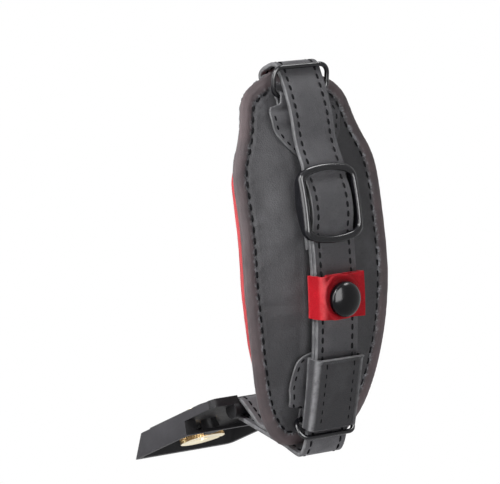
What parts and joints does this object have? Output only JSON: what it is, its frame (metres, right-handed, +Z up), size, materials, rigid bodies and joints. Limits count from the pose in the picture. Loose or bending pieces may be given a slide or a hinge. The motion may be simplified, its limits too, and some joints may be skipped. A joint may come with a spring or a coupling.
{
  "type": "camera hand grip strap",
  "caption": "Padded leather hand grip strap with wire rings, slide buckle, snap keeper and tail sleeve, looped to a hollow base plate with a captive tripod screw.",
  "frame": {"origin": "on the top of the base plate's rubber sheet, where the camera's base sits, in the strap's middle plane", "axes": "+X to the camera's front, across the strap, +Y from the hand to the camera, +Z up out of the plate's top into the camera"},
  "size_m": [0.0754, 0.1499, 0.1549],
  "materials": {
    "black_leather": "smooth with a fine grain, satin",
    "red_leather": "smooth, satin",
    "red_lining": "soft, matt",
    "foam": "soft foam, not visible",
    "black_enamel": "gloss black enamel",
    "black_gloss": "high gloss black",
    "plated_steel": "nickel plated",
    "matt_plastic": "fine moulded texture",
    "rubber": "matt",
    "brass": "turned, pale",
    "nylon": "plain"
  },
  "bodies": {
    "plate": {"base_plate": "matt_plastic", "grip_sheet": "rubber"},
    "screw": {"tripod_screw": "brass", "screw_washer": "nylon", "screw_clip": "plated_steel"},
    "strap": {"pad_cover": "black_leather", "pad_foam": "foam", "pad_lining": "red_lining", "top_tab": "black_leather", "bottom_tab": "black_leather", "adjusting_belt": "black_leather", "anchor_belt": "black_leather", "tail_sleeve": "black_leather", "slide_buckle": "black_enamel"},
    "top_ring": {"top_ring": "black_enamel"},
    "bottom_ring": {"bottom_ring": "black_enamel"},
    "keeper": {"keeper_band": "red_leather", "snap_cap": "black_gloss", "snap_socket": "plated_steel", "snap_stud": "plated_steel", "snap_post": "plated_steel"}
  },
  "joints": [
    {"name": "screw_turn", "type": "hinge", "parent": "plate", "child": "screw", "pos_m": [0, 0.0185, 0], "axis": [0, 0, 1], "continuous": true},
    {"name": "strap_swing", "type": "hinge", "parent": "plate", "child": "strap", "pos_m": [0, -0.0265, -0.0068], "axis": [1, 0, 0], "range_deg": [-15, 45]},
    {"name": "top_ring_swing", "type": "hinge", "parent": "strap", "child": "top_ring", "pos_m": [0, -0.10777, 0.10419], "axis": [1, 0, 0], "range_deg": [0, 30]},
    {"name": "bottom_ring_swing", "type": "hinge", "parent": "strap", "child": "bottom_ring", "pos_m": [0, -0.06455, -0.02172], "axis": [-1, 0, 0], "range_deg": [0, 12]},
    {"name": "keeper_slide", "type": "hinge", "parent": "strap", "child": "keeper", "pos_m": [0, 0.1221, 0.108], "axis": [1, 0, 0], "range_deg": [-2, 3.4]}
  ]
}
